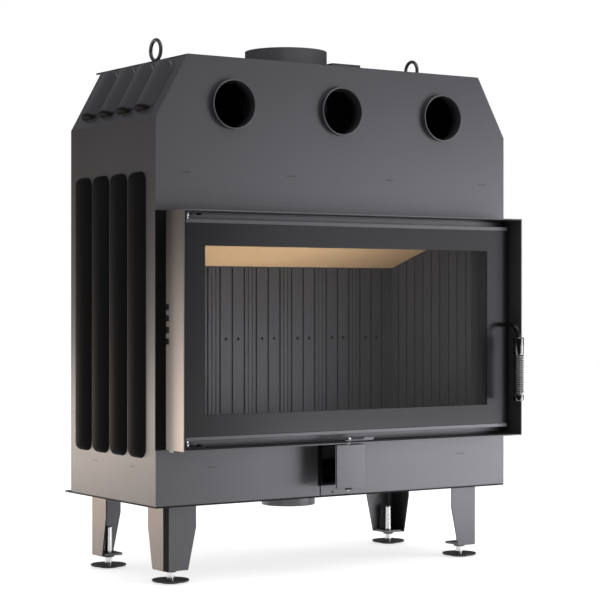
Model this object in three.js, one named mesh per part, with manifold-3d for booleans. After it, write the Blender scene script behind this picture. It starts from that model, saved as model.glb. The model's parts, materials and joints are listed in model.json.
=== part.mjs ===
// Fireplace insert: a welded steel casing on four levelling legs, with a lined fire
// chamber, a side-hung glass door, three hot air outlets and a flue collar.
// Millimetres. X runs to the right, Y runs back from the face of the casing, and Z runs
// up from the underside of the casing. The last lines stand the insert on the floor.
import * as THREE from 'three';
import { mergeVertices } from 'three/addons/utils/BufferGeometryUtils.js';
import Module from 'manifold-3d';

const wasm = await Module();
wasm.setup();

// ---- Driving sizes --------------------------------------------------------------------

// Clearances.
const seam = 0.3; // between pieces that are welded, bolted or rest on each other
const running = 0.4; // between a turning piece and its bore

// Casing.
const casingWidth = 1044;
const casingDepth = 438;
const casingHeight = 1066;
const shoulderRun = 86;
const shoulderDrop = 154;
const sheet = 3;
const plate = 4;
const topOverhang = 30;
const bottomOverhang = 33;

// Ribs pressed outwards in the side panels and the shoulders.
const ribCount = 4;
const ribPitch = 92;
const ribWidth = 83;
const ribHeight = 17;
const ribCorner = 24;
const ribFirst = 89.5; // face of the casing to the middle of the first rib
const sideRibFoot = 114; // underside of the casing to the lower end of a side rib
const sideRibLength = 674;
const shoulderRibFoot = 24; // fold to the lower end of a shoulder rib, up the slope
const shoulderRibLength = 140;

// Hot air outlets in the face of the casing.
const outletCount = 3;
const outletInset = 209; // side of the casing to the middle of an outer outlet
const outletDrop = 113; // top of the casing to the middle of an outlet
const outletDiameter = 120;
const outletWall = 3.5;
const outletReach = 12; // in front of the panel
const outletTail = 25; // behind the face of the panel

// Flue collar, and the low cover beside it.
const flueDiameter = 212;
const flueWall = 3;
const flueReach = 61; // above the top plate
const flueBack = 248; // face of the casing to the axis
const coverGap = 6;
const coverWidth = 89;
const coverDepth = 100;
const coverHeight = 36;
const coverFront = 198;
const coverSheet = 2;

// Combustion air intake under the casing.
const intakeDiameter = 138;
const intakeWall = 3;
const intakeReach = 40;
const intakeTail = 20;
const intakeBack = 237;

// Lifting eyes.
const eyeInset = 43; // end of the top plate to an eye
const eyeBack = 232;
const eyeRadius = 25.5; // middle line of the ring
const eyeRod = 9;
const eyeBaseHeight = 7;
const eyeBaseDiameter = 26;
const eyeStudDiameter = 10;
const eyeStudLength = 14;

// Fire chamber.
const chamberInset = 120; // side of the casing to the chamber
const chamberDepth = 333; // face of the casing to the back lining
const liningThickness = 33;
const liningNose = 13; // side linings stand this far in front of the casing
const fireboxPlate = 4;
const fireboxFloor = 89; // underside of the floor plate
const ceilingDrop = 281; // top of the casing to the underside of the ceiling plate
const ceilingWing = 35; // ceiling plate beyond the side plates
const slatPitch = 36.85;
const grooveWidth = 4;
const grooveDepth = 6;
const fluteWidth = 2.4;
const fluteDepth = 2;
const firstSlat = 21; // width of the foremost slat of a side lining
const airHoleHeight = 385;
const airHoleDiameter = 8;
const hearthThickness = 37;
const hearthFront = 45;
const baffleThickness = 25;
const baffleRear = 574; // underside of the baffle where it meets the back lining
const baffleFront = 95; // face of the casing to the front edge of the baffle
const bafflePitchDegrees = 16.6;

// Mouth of the fire chamber, and the flange that the door closes on.
const mouthBottom = 180;
const mouthTop = 650;
const flangeInset = 33; // side of the casing to the flange
const flangeGapBottom = 9; // outer faces of the surround to the flange
const flangeGapTop = 8;
const flangeDepth = 16;
const flangeWall = 4;

// Surround: a four-walled sheet box around the door.
const surroundInsetLeft = 27; // sides of the casing to the surround
const surroundInsetRight = 7;
const surroundBottom = 136;
const surroundTop = 696;
const surroundDepth = 83;
const surroundSheet = 3;
const slotFirst = 382; // lowest slot in the left wall
const slotPitch = 27;
const slotHeight = 14;
const slotDepth = 15;
const slotCount = 4;
const lugLength = 19; // small lug under the left wall
const lugHeight = 5;
const lugBack = 15;

// Door.
const doorGapLeft = 26; // outer faces of the surround to the door
const doorGapRight = 20;
const doorGapBottom = 21;
const doorGapTop = 20.5;
const doorFace = 45; // front of the glass, in front of the casing
const doorBack = 23;
const glassThickness = 4;
const trimHeight = 9.5;
const trimProud = 2;
const borderLeft = 54; // edges of the door to the clear part of the glass
const borderRight = 65;
const borderBottom = 59;
const borderTop = 62.5;
const windowMargin = 10; // black border that overlaps the opening of the door frame
const sealWidth = 10;
const sealSide = 18; // middle of the seal outside the mouth, left and right
const sealUpDown = 7; // middle of the seal beyond the mouth, top and bottom

// Hinges.
const pinInset = 12; // left edge of the door to the hinge axis
const pinFront = 32; // hinge axis in front of the casing
const pinDiameter = 10;
const pinDepth = 24; // length of a pin inside its bush
const bushDiameter = 15;
const bushLength = 25;
const bracketThickness = 4;
const bracketReach = 40; // bracket to the right of the axis
const bracketDepth = 40;

// Handle and latch.
const handleInset = 10; // right edge of the door to the handle's shaft
const handleHeight = 422;
const armDiameter = 16;
const gripReach = 60; // grip axis in front of the glass
const bendRadius = 32;
const gripDiameter = 28;
const gripLength = 163;
const upperFerrule = 45;
const lowerFerrule = 15;
const wireDiameter = 4;
const coreClearance = 1.3; // between the rod and the wire round it
const coilPitch = 5.6;
const camThickness = 5;
const camHubDiameter = 22;
const camReach = 22; // shaft axis to the tip of the finger
const camFinger = 12; // height of the finger
const keeperHeight = 24;
const keeperDepth = 11;
const keeperThickness = 12;

// Air control under the door.
const controlSide = 25; // spindle axis left of the middle
const controlFront = 72; // spindle axis in front of the casing
const spindleDiameter = 8;
const spindleFoot = 21;
const spindleTop = 151;
const spindleCap = 12;
const leverHeight = 142.5;
const leverThickness = 3;
const leverWidth = 14;
const leverReach = 70;
const leverTail = 14;
const tabLength = 30;
const tabHeight = 8;
const damperReach = 36;
const damperHeight = 84;
const damperThickness = 2.5;
const damperFoot = 40;
const sleeveWall = 1.2; // of the sleeve that holds the damper on its spindle
const airBoxLeft = 68;
const airBoxRight = 24;
const airBoxBottom = 28;
const airBoxTop = 133;
const airBoxDepth = 80;
const airBoxSheet = 2;
const airBoxBend = 6;
const tongueLeft = 60;
const tongueBottom = 5;
const inletLeft = 56;
const inletRight = 14;
const inletBottom = 36;
const inletTop = 126;
const inletCorner = 8;

// Legs and levelling feet.
const standHeight = 189;
const legInset = 51; // side of the casing to the outer face of a leg
const legFront = 46; // face of the casing to the front face of a front leg
const legRearInset = 6; // back of the casing to the rear face of a rear leg
const legWidth = 85;
const legHeight = 153;
const legSheet = 4;
const legChamfer = 10;
const legTaper = 22;
const taperStart = 56;
const soleSize = 60;
const soleThickness = 6;
const footInset = 34; // outer faces of a leg to the axis of its foot
const rodDiameter = 17;
const rodTop = 84; // top of the rod below the casing
const nutWidth = 25; // across flats
const nutHeight = 10;
const padDiameter = 89.4;
const padEdge = 5;
const bossDiameter = 46;
const bossHeight = 8;
const padHub = 26;

// Facets on round pieces.
const roundSides = 32;
const smallSides = 12;

// ---- Finishes -------------------------------------------------------------------------

function finish(color, roughness, metalness) {
  return new THREE.MeshStandardMaterial({ color, roughness, metalness });
}

const casingPaint = finish('#3b3b3e', 0.45, 0.3);
const rawSteel = finish('#4a4a4c', 0.55, 0.6);
const castIron = finish('#3a393b', 0.7, 0.3);
const vermiculite = finish('#c2a276', 0.9, 0);
const darkGlass = finish('#232325', 0.08, 0);
const sealRope = finish('#2c2b2a', 0.95, 0);
const chrome = finish('#d8d8da', 0.12, 1);
const zincSteel = finish('#9c9a98', 0.35, 0.9);

// ---- Making solids --------------------------------------------------------------------

const insert = new THREE.Group();

// One closed mesh: shared points are merged, slivers go, and the faces point outwards.
function closed(geometry) {
  const bare = geometry.index ? geometry.toNonIndexed() : geometry.clone();
  bare.deleteAttribute('normal');
  bare.deleteAttribute('uv');
  const merged = mergeVertices(bare, 1e-4);
  const corners = merged.index.array;
  const point = merged.attributes.position;
  const kept = [];
  const a = new THREE.Vector3();
  const b = new THREE.Vector3();
  const c = new THREE.Vector3();
  let volume = 0;
  for (let i = 0; i < corners.length; i += 3) {
    const [p, q, r] = corners.slice(i, i + 3);
    if (p === q || q === r || r === p) continue;
    kept.push(p, q, r);
    a.fromBufferAttribute(point, p);
    b.fromBufferAttribute(point, q);
    c.fromBufferAttribute(point, r);
    volume += a.dot(b.cross(c));
  }
  merged.setIndex(volume < 0 ? kept.reverse() : kept);
  return merged;
}

function solid(geometry) {
  const merged = closed(geometry);
  const vertProperties = new Float32Array(merged.attributes.position.array);
  const triVerts = new Uint32Array(merged.index.array);
  return new wasm.Manifold(new wasm.Mesh({ numProp: 3, vertProperties, triVerts }));
}

function cut(body, ...tools) {
  return tools.reduce((left, tool) => left.subtract(solid(tool)), body);
}

function join(body, ...others) {
  return others.reduce((whole, other) => whole.add(solid(other)), body);
}

function fromSolid(body) {
  const { vertProperties, triVerts } = body.getMesh();
  const geometry = new THREE.BufferGeometry();
  geometry.setAttribute('position', new THREE.BufferAttribute(vertProperties, 3));
  geometry.setIndex(new THREE.BufferAttribute(triVerts, 1));
  return geometry;
}

function add(name, shape, material) {
  const geometry = shape.getMesh ? fromSolid(shape) : closed(shape);
  geometry.computeVertexNormals();
  const mesh = new THREE.Mesh(geometry, material);
  mesh.name = name;
  insert.add(mesh);
  return mesh;
}

function outline(points) {
  return new THREE.Shape(points.map(([x, y]) => new THREE.Vector2(x, y)));
}

function rectangle(left, bottom, right, top) {
  return outline([[left, bottom], [right, bottom], [right, top], [left, top]]);
}

function roundedRectangle(left, bottom, right, top, radius) {
  const shape = new THREE.Shape();
  shape.moveTo(left + radius, bottom);
  shape.absarc(right - radius, bottom + radius, radius, -Math.PI / 2, 0);
  shape.absarc(right - radius, top - radius, radius, 0, Math.PI / 2);
  shape.absarc(left + radius, top - radius, radius, Math.PI / 2, Math.PI);
  shape.absarc(left + radius, bottom + radius, radius, Math.PI, Math.PI * 1.5);
  return shape;
}

function circle(x, y, radius) {
  return new THREE.Shape().absarc(x, y, radius, 0, Math.PI * 2);
}

function withHoles(shape, ...holes) {
  shape.holes.push(...holes);
  return shape;
}

function extrude(shape, depth, curveSegments = 8) {
  return new THREE.ExtrudeGeometry(shape, { depth, curveSegments, bevelEnabled: false });
}

// An outline drawn in plan, seen from above, with its thickness upwards.
function flat(shape, bottom, thickness, curveSegments) {
  return extrude(shape, thickness, curveSegments).translate(0, 0, bottom);
}

// An outline drawn as seen from the front, with its thickness backwards.
function upright(shape, front, thickness, curveSegments) {
  return extrude(shape, thickness, curveSegments)
    .rotateX(Math.PI / 2)
    .translate(0, front + thickness, 0);
}

// An outline drawn as seen from the right side, with its thickness to the right.
const sideways = new THREE.Matrix4().makeBasis(
  new THREE.Vector3(0, 1, 0),
  new THREE.Vector3(0, 0, 1),
  new THREE.Vector3(1, 0, 0),
);

function profile(shape, left, thickness, curveSegments) {
  return extrude(shape, thickness, curveSegments)
    .applyMatrix4(sideways)
    .translate(left, 0, 0);
}

function block(left, right, front, back, bottom, top) {
  return new THREE.BoxGeometry(right - left, back - front, top - bottom)
    .translate((left + right) / 2, (front + back) / 2, (bottom + top) / 2);
}

function upRod(x, y, bottom, top, diameter, sides = smallSides) {
  return new THREE.CylinderGeometry(diameter / 2, diameter / 2, top - bottom, sides)
    .rotateX(Math.PI / 2)
    .translate(x, y, (bottom + top) / 2);
}

function turned(points, sides = roundSides) {
  const line = points.map(([radius, height]) => new THREE.Vector2(radius, height));
  return new THREE.LatheGeometry(line, sides).rotateX(Math.PI / 2);
}

function tube(diameter, wall, bottom, top, sides = roundSides) {
  const outer = diameter / 2;
  const inner = outer - wall;
  const ring = [[inner, bottom], [outer, bottom], [outer, top], [inner, top], [inner, bottom]];
  return turned(ring, sides);
}

// ---- Casing ---------------------------------------------------------------------------

const halfWidth = casingWidth / 2;
const foldHeight = casingHeight - shoulderDrop;
const panelFoot = plate + seam;
const innerTop = casingHeight - plate;
const panelBack = sheet + seam; // first free plane behind the front panel
const backPanelFront = casingDepth - sheet;

const outletHeight = casingHeight - outletDrop;

const chamberHalf = halfWidth - chamberInset;
const liningOuter = chamberHalf + liningThickness;
const mouthHalf = liningOuter + seam;

function casingOutline(top) {
  const half = halfWidth - shoulderRun * (top - foldHeight) / shoulderDrop;
  return outline([
    [-halfWidth, panelFoot],
    [halfWidth, panelFoot],
    [halfWidth, foldHeight],
    [half, top],
    [-half, top],
    [-halfWidth, foldHeight],
  ]);
}

const fireboxCeiling = casingHeight - ceilingDrop;
const outletPitch = 2 * (halfWidth - outletInset) / (outletCount - 1);
const outletCentres = Array.from(
  { length: outletCount },
  (_, i) => (i - (outletCount - 1) / 2) * outletPitch,
);

function frontPanel() {
  const outlets = outletCentres.map((x) => circle(x, outletHeight, outletDiameter / 2 + seam));
  const mouth = rectangle(-mouthHalf, mouthBottom, mouthHalf, mouthTop);
  const inlet = roundedRectangle(-inletLeft, inletBottom, inletRight, inletTop, inletCorner);
  const face = withHoles(casingOutline(casingHeight), ...outlets, mouth, inlet);
  return upright(face, 0, sheet, roundSides / 2);
}

// A rib is a domed strip: round across, and rounded off at both ends and corners.
// Its root goes below the sheet's surface by the given depth.
function rib(width, length, root) {
  const across = 6;
  const nearEnd = 3;
  const along = 2 * nearEnd + 1;
  const half = width / 2;
  const arc = (half * half + ribHeight * ribHeight) / (2 * ribHeight);
  const form = new THREE.BoxGeometry(2, 2, 2, across, along, 1);
  const point = form.attributes.position;
  for (let i = 0; i < point.count; i += 1) {
    const x = half * Math.sin(point.getX(i) * Math.PI / 2);
    const row = Math.round((point.getY(i) + 1) / 2 * along);
    const step = Math.min(row, along - row) / nearEnd;
    const rise = Math.sin(step * Math.PI / 2);
    const fromCorner = Math.max(Math.abs(x) - (half - ribCorner), 0);
    const cornerInset = ribCorner - Math.sqrt(Math.max(ribCorner ** 2 - fromCorner ** 2, 0));
    const inset = cornerInset + ribCorner * (1 - Math.cos(step * Math.PI / 2));
    const end = Math.sign(row - along / 2);
    const dome = Math.sqrt(arc * arc - x * x) - (arc - ribHeight);
    const top = point.getZ(i) > 0;
    point.setXYZ(i, x, end * (length / 2 - inset), top ? Math.max(dome, 0) * rise : -root);
  }
  return form;
}

// Presses the ribs of one panel: place(i) puts rib i on the outer surface of the sheet.
function press(panel, length, place) {
  let pressed = panel;
  for (let i = 0; i < ribCount; i += 1) {
    const outer = rib(ribWidth, length, sheet / 2).applyMatrix4(place(i));
    pressed = join(pressed, outer);
  }
  for (let i = 0; i < ribCount; i += 1) {
    const inner = rib(ribWidth - sheet, length - 2 * sheet, sheet)
      .translate(0, 0, -sheet)
      .applyMatrix4(place(i));
    pressed = cut(pressed, inner);
  }
  return pressed;
}

// Ribs lie along the direction up, and bulge along the direction out.
function ribPlace(up, out, x, z) {
  return (i) => new THREE.Matrix4()
    .makeBasis(new THREE.Vector3().crossVectors(up, out), up, out)
    .setPosition(x, ribFirst + i * ribPitch, z);
}

function sidePanel(side) {
  const face = rectangle(panelBack, panelFoot, backPanelFront - seam, foldHeight - seam / 2);
  const panel = profile(face, side > 0 ? halfWidth - sheet : -halfWidth, sheet);
  const up = new THREE.Vector3(0, 0, 1);
  const out = new THREE.Vector3(side, 0, 0);
  const middle = sideRibFoot + sideRibLength / 2;
  return press(solid(panel), sideRibLength, ribPlace(up, out, side * halfWidth, middle));
}

function shoulder(side) {
  const slope = Math.hypot(shoulderRun, shoulderDrop);
  const levelThickness = sheet * slope / shoulderDrop;
  const at = (z) => halfWidth - shoulderRun * (z - foldHeight) / shoulderDrop;
  const foot = foldHeight + seam / 2;
  const top = innerTop - seam;
  const section = outline([
    [side * at(foot), foot],
    [side * at(top), top],
    [side * (at(top) - levelThickness), top],
    [side * (at(foot) - levelThickness), foot],
  ]);
  const panel = upright(section, panelBack, backPanelFront - seam - panelBack);
  const up = new THREE.Vector3(-side * shoulderRun / slope, 0, shoulderDrop / slope);
  const out = new THREE.Vector3(side * shoulderDrop / slope, 0, shoulderRun / slope);
  const middle = shoulderRibFoot + shoulderRibLength / 2;
  const x = side * halfWidth + up.x * middle;
  const z = foldHeight + up.z * middle;
  return press(solid(panel), shoulderRibLength, ribPlace(up, out, x, z));
}

const topHalf = halfWidth - shoulderRun;
const eyeSide = topHalf - eyeInset;

function topPlate() {
  const studHoles = [-1, 1].map((side) => (
    circle(side * eyeSide, eyeBack, eyeStudDiameter / 2 + seam)
  ));
  const face = withHoles(
    rectangle(-topHalf, panelBack, topHalf, casingDepth + topOverhang),
    circle(0, flueBack, flueDiameter / 2 + seam),
    ...studHoles,
  );
  return flat(face, innerTop, plate, roundSides / 2);
}

function bottomPlate() {
  const face = withHoles(
    rectangle(-halfWidth, 0, halfWidth, casingDepth + bottomOverhang),
    circle(0, intakeBack, intakeDiameter / 2 + seam),
  );
  return flat(face, 0, plate, roundSides / 2);
}

add('front_panel', frontPanel(), casingPaint);
add('side_panel_left', sidePanel(-1), casingPaint);
add('side_panel_right', sidePanel(1), casingPaint);
add('shoulder_left', shoulder(-1), casingPaint);
add('shoulder_right', shoulder(1), casingPaint);
add('top_plate', topPlate(), casingPaint);
add('bottom_plate', bottomPlate(), casingPaint);
add('back_panel', upright(casingOutline(innerTop - seam), backPanelFront, sheet), casingPaint);

// ---- Outlets, flue, intake and lifting eyes ---------------------------------------------

['left', 'centre', 'right'].forEach((place, i) => {
  const collar = tube(outletDiameter, outletWall, -outletTail, outletReach)
    .rotateX(Math.PI / 2)
    .translate(outletCentres[i], 0, outletHeight);
  add(`outlet_collar_${place}`, collar, casingPaint);
});

const ceilingTop = fireboxCeiling + fireboxPlate;
const flueCollar = tube(flueDiameter, flueWall, ceilingTop + seam, casingHeight + flueReach)
  .translate(0, flueBack, 0);
add('flue_collar', flueCollar, casingPaint);

// The cover is a sheet tray turned over, open towards the top plate.
const coverLeft = flueDiameter / 2 + coverGap;
const coverRight = coverLeft + coverWidth;
const coverFoot = casingHeight + seam;
const coverTop = coverFoot + coverHeight;
const coverBack = coverFront + coverDepth;
const accessCover = cut(
  solid(block(coverLeft, coverRight, coverFront, coverBack, coverFoot, coverTop)),
  block(
    coverLeft + coverSheet,
    coverRight - coverSheet,
    coverFront + coverSheet,
    coverBack - coverSheet,
    coverFoot - coverSheet,
    coverTop - coverSheet,
  ),
);
add('top_access_cover', accessCover, casingPaint);

const intakeSpigot = tube(intakeDiameter, intakeWall, -intakeReach, plate + intakeTail)
  .translate(0, intakeBack, 0);
add('intake_spigot', intakeSpigot, casingPaint);

function liftingEye(side) {
  const x = side * eyeSide;
  const foot = casingHeight + seam;
  const seat = foot + eyeBaseHeight;
  const ring = new THREE.TorusGeometry(eyeRadius, eyeRod / 2, 8, 20)
    .rotateY(Math.PI / 2)
    .translate(x, eyeBack, seat + eyeRadius + eyeRod / 2 - 1);
  return join(
    solid(ring),
    upRod(x, eyeBack, foot, seat, eyeBaseDiameter),
    upRod(x, eyeBack, casingHeight - eyeStudLength, foot + 1, eyeStudDiameter),
  );
}

add('lifting_eye_left', liftingEye(-1), casingPaint);
add('lifting_eye_right', liftingEye(1), casingPaint);

// ---- Fire chamber -----------------------------------------------------------------------

const floorTop = fireboxFloor + fireboxPlate;
const liningFoot = floorTop + seam;
const liningBack = chamberDepth + liningThickness;
const fireboxBack = liningBack + seam + fireboxPlate;
const fireboxHalf = mouthHalf + fireboxPlate;
const baffleSlope = Math.tan(THREE.MathUtils.degToRad(bafflePitchDegrees));
const flangeHalfWidth = halfWidth - flangeInset;
const flangeBottom = surroundBottom + flangeGapBottom;
const flangeTop = surroundTop - flangeGapTop;

// Underside of the baffle at a distance behind the face of the casing.
function baffleLevel(y) {
  return baffleRear + (chamberDepth - y) * baffleSlope;
}

function floorPlate() {
  const half = halfWidth - sheet - seam;
  const riser = rectangle(-airBoxLeft, 0, airBoxRight, hearthFront - seam);
  const body = solid(flat(rectangle(-half, panelBack, half, fireboxBack), fireboxFloor, fireboxPlate));
  return cut(body, flat(riser, fireboxFloor - 1, fireboxPlate + 2));
}

function ceilingPlate() {
  const half = fireboxHalf + ceilingWing;
  const face = withHoles(
    rectangle(-half, panelBack, half, fireboxBack + ceilingWing),
    circle(0, flueBack, flueDiameter / 2 - flueWall),
  );
  return flat(face, fireboxCeiling, fireboxPlate, roundSides / 2);
}

function fireboxWall(left, right, front, back) {
  return block(left, right, front, back, floorTop + seam, fireboxCeiling - seam);
}

function flange() {
  const ring = withHoles(
    rectangle(-flangeHalfWidth, flangeBottom, flangeHalfWidth, flangeTop),
    rectangle(-mouthHalf, mouthBottom, mouthHalf, mouthTop),
  );
  const channel = withHoles(
    rectangle(
      -flangeHalfWidth + flangeWall,
      flangeBottom + flangeWall,
      flangeHalfWidth - flangeWall,
      flangeTop - flangeWall,
    ),
    rectangle(
      -mouthHalf - flangeWall,
      mouthBottom - flangeWall,
      mouthHalf + flangeWall,
      mouthTop + flangeWall,
    ),
  );
  const body = solid(upright(ring, -flangeDepth, flangeDepth - seam));
  return cut(body, upright(channel, flangeWall - flangeDepth, flangeDepth));
}

add('firebox_floor', floorPlate(), rawSteel);
add('firebox_ceiling', ceilingPlate(), rawSteel);
add('firebox_side_left', fireboxWall(-fireboxHalf, -mouthHalf, panelBack, fireboxBack), rawSteel);
add('firebox_side_right', fireboxWall(mouthHalf, fireboxHalf, panelBack, fireboxBack), rawSteel);
add(
  'firebox_back',
  fireboxWall(-mouthHalf + seam, mouthHalf - seam, liningBack + seam, fireboxBack),
  rawSteel,
);
add('firebox_flange', flange(), casingPaint);

// Points of a slatted face along one line. The face is at depth 0 and the slats are parted
// by square grooves. Of every three slats one is fluted, and the other two are plain.
function slattedLine(start, end, firstGroove, slatNumber) {
  const points = [[start, 0]];
  const before = Math.ceil((start + grooveWidth - firstGroove) / slatPitch);
  const last = Math.floor((end - grooveWidth - firstGroove) / slatPitch);
  for (let k = before; k <= last; k += 1) {
    const groove = firstGroove + k * slatPitch;
    points.push([groove - grooveWidth / 2, 0]);
    points.push([groove - grooveWidth / 2, grooveDepth]);
    points.push([groove + grooveWidth / 2, grooveDepth]);
    points.push([groove + grooveWidth / 2, 0]);
    const fluted = slatNumber(k) % 3 === 1 && groove + slatPitch < end;
    const flutes = fluted ? [groove + slatPitch / 3, groove + slatPitch * 2 / 3] : [];
    flutes.forEach((flute) => {
      points.push([flute - fluteWidth / 2, 0]);
      points.push([flute, fluteDepth]);
      points.push([flute + fluteWidth / 2, 0]);
    });
  }
  points.push([end, 0]);
  return points;
}

// Slats of the back lining are numbered outwards from the middle, on both sides.
const fromMiddle = (k) => (k >= 0 ? k : -1 - k);

function backLining() {
  const half = liningOuter;
  const face = slattedLine(-half, half, 0, fromMiddle)
    .map(([x, depth]) => [x, chamberDepth + depth]);
  const plan = outline([...face, [half, liningBack], [-half, liningBack]]);
  const top = baffleLevel(chamberDepth) - seam;
  const body = solid(flat(plan, liningFoot, top - liningFoot));
  const slope = profile(
    outline([
      [chamberDepth - 1, baffleLevel(chamberDepth - 1) - seam],
      [liningBack + 1, baffleLevel(liningBack + 1) - seam],
      [liningBack + 1, top + slatPitch],
      [chamberDepth - 1, top + slatPitch],
    ]),
    -half - 1,
    2 * half + 2,
  );
  const holes = [];
  const reach = Math.floor(chamberHalf / slatPitch);
  for (let k = -reach; k < reach; k += 1) {
    if (fromMiddle(k) % 3 === 1) continue;
    holes.push(
      new THREE.CylinderGeometry(airHoleDiameter / 2, airHoleDiameter / 2, liningThickness * 2, 8)
        .translate((k + 0.5) * slatPitch, liningBack, airHoleHeight),
    );
  }
  return cut(body, slope, ...holes);
}

function sideLining(side) {
  const front = -liningNose;
  const back = chamberDepth - seam;
  const face = slattedLine(front, back, front + firstSlat, (k) => k + 2)
    .map(([y, depth]) => [side * (chamberHalf + depth), y]);
  const plan = outline([...face, [side * liningOuter, back], [side * liningOuter, front]]);
  const top = baffleLevel(baffleFront) - seam;
  const body = solid(flat(plan, liningFoot, top - liningFoot));
  const slope = profile(
    outline([
      [baffleFront, top],
      [back + 1, baffleLevel(back + 1) - seam],
      [back + 1, top + 1],
      [baffleFront, top + 1],
    ]),
    -liningOuter - 1,
    2 * liningOuter + 2,
  );
  const noseBack = panelBack + seam;
  const under = block(-mouthHalf, mouthHalf, front - 1, noseBack, 0, mouthBottom + seam);
  const over = block(-mouthHalf, mouthHalf, front - 1, noseBack, mouthTop - seam, casingHeight);
  return cut(body, slope, under, over);
}

function baffle() {
  const section = outline([
    [baffleFront, baffleLevel(baffleFront)],
    [liningBack, baffleLevel(liningBack)],
    [liningBack, baffleLevel(liningBack) + baffleThickness],
    [baffleFront, baffleLevel(baffleFront) + baffleThickness],
  ]);
  return profile(section, -liningOuter, 2 * liningOuter);
}

const hearth = block(
  -chamberHalf + seam,
  chamberHalf - seam,
  hearthFront,
  chamberDepth - seam,
  liningFoot,
  liningFoot + hearthThickness,
);
add('lining_back', backLining(), castIron);
add('lining_left', sideLining(-1), castIron);
add('lining_right', sideLining(1), castIron);
add('hearth_floor', hearth, castIron);
add('baffle', baffle(), vermiculite);

// ---- Surround ---------------------------------------------------------------------------

const surroundLeft = halfWidth - surroundInsetLeft;
const surroundRight = halfWidth - surroundInsetRight;
const surroundFloor = surroundBottom + surroundSheet;
const surroundCeiling = surroundTop - surroundSheet;

function surround() {
  const ring = withHoles(
    rectangle(-surroundLeft, surroundBottom, surroundRight, surroundTop),
    rectangle(
      -surroundLeft + surroundSheet,
      surroundFloor,
      surroundRight - surroundSheet,
      surroundCeiling,
    ),
  );
  const body = solid(upright(ring, -surroundDepth, surroundDepth - seam));
  const lug = block(
    -surroundLeft,
    -surroundLeft + surroundSheet,
    -lugBack - lugLength,
    -lugBack,
    surroundBottom - lugHeight,
    surroundFloor,
  );
  const slots = Array.from({ length: slotCount }, (_, i) => {
    const bottom = slotFirst + i * slotPitch;
    return block(
      -surroundLeft - 1,
      -surroundLeft + surroundSheet + 1,
      -slotDepth,
      1,
      bottom,
      bottom + slotHeight,
    );
  });
  const spindleHole = upRod(
    -controlSide,
    -controlFront,
    surroundBottom - 1,
    surroundFloor + 1,
    spindleDiameter + 2 * running,
  );
  return cut(join(body, lug), ...slots, spindleHole);
}

add('door_surround', surround(), casingPaint);

// ---- Door -------------------------------------------------------------------------------

const doorLeft = surroundLeft - doorGapLeft;
const doorRight = surroundRight - doorGapRight;
const doorBottom = surroundBottom + doorGapBottom;
const doorTop = surroundTop - doorGapTop;
const windowLeft = doorLeft - borderLeft;
const windowRight = doorRight - borderRight;
const windowBottom = doorBottom + borderBottom;
const windowTop = doorTop - borderTop;
const pinSide = doorLeft - pinInset;
const handleSide = doorRight - handleInset;
const glassBack = -doorFace + glassThickness;
const frameFront = glassBack + seam;
const barTop = doorTop - trimHeight - seam;
const barBottom = doorBottom + trimHeight + seam;
const shaftBore = armDiameter / 2 + running;

// Shaft bore through a piece of the door, with its axis from front to back.
function shaftHole(radius) {
  return new THREE.CylinderGeometry(radius, radius, surroundDepth, smallSides + 4)
    .translate(handleSide, -doorFace, handleHeight);
}

function pinHole(bottom, top, diameter) {
  return upRod(-pinSide, -pinFront, bottom, top, diameter);
}

function doorFrame() {
  const ring = withHoles(
    rectangle(-doorLeft, barBottom, doorRight, barTop),
    rectangle(
      -windowLeft - windowMargin,
      windowBottom - windowMargin,
      windowRight + windowMargin,
      windowTop + windowMargin,
    ),
  );
  const body = solid(upright(ring, frameFront, -doorBack - frameFront));
  const bushBore = bushDiameter + 2 * seam;
  return cut(
    body,
    shaftHole(shaftBore),
    pinHole(barTop - bushLength - seam, barTop + 1, bushBore),
    pinHole(barBottom - 1, barBottom + bushLength + seam, bushBore),
  );
}

function doorGlass() {
  const pane = rectangle(-doorLeft, barBottom, doorRight - seam, barTop);
  const notch = shaftBore + seam;
  const slot = block(
    handleSide,
    doorRight + 1,
    -doorFace - 1,
    glassBack + 1,
    handleHeight - notch,
    handleHeight + notch,
  );
  return cut(solid(upright(pane, -doorFace, glassThickness)), shaftHole(notch), slot);
}

function trim(bottom) {
  const front = -doorFace - trimProud;
  const bar = block(-doorLeft, doorRight, front, -doorBack, bottom, bottom + trimHeight);
  return cut(solid(bar), pinHole(bottom - 1, bottom + trimHeight + 1, pinDiameter + 2 * running));
}

function doorSeal() {
  const side = mouthHalf + sealSide;
  const bottom = mouthBottom - sealUpDown;
  const top = mouthTop + sealUpDown;
  const half = sealWidth / 2;
  const ring = withHoles(
    rectangle(-side - half, bottom - half, side + half, top + half),
    rectangle(-side + half, bottom + half, side - half, top - half),
  );
  return upright(ring, -doorBack + seam, doorBack - flangeDepth - 2 * seam);
}

function bush(bottom) {
  const wall = (bushDiameter - pinDiameter) / 2 - running;
  return tube(bushDiameter, wall, bottom, bottom + bushLength, smallSides)
    .translate(-pinSide, -pinFront, 0);
}

add('door_frame', doorFrame(), casingPaint);
add('door_glass', doorGlass(), darkGlass);
add('door_trim_top', trim(doorTop - trimHeight), casingPaint);
add('door_trim_bottom', trim(doorBottom), casingPaint);
add('door_seal', doorSeal(), sealRope);
add('hinge_bush_top', bush(barTop - bushLength), zincSteel);
add('hinge_bush_bottom', bush(barBottom), zincSteel);

// Each bracket is a flat plate against the surround, and its pin stands in the plate.
function bracket(bottom) {
  const face = withHoles(
    rectangle(
      -surroundLeft + surroundSheet + seam,
      -pinFront - bracketDepth / 2,
      -pinSide + bracketReach,
      -flangeDepth - seam,
    ),
    circle(-pinSide, -pinFront, pinDiameter / 2 + seam),
  );
  return flat(face, bottom, bracketThickness, smallSides / 2);
}

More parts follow.
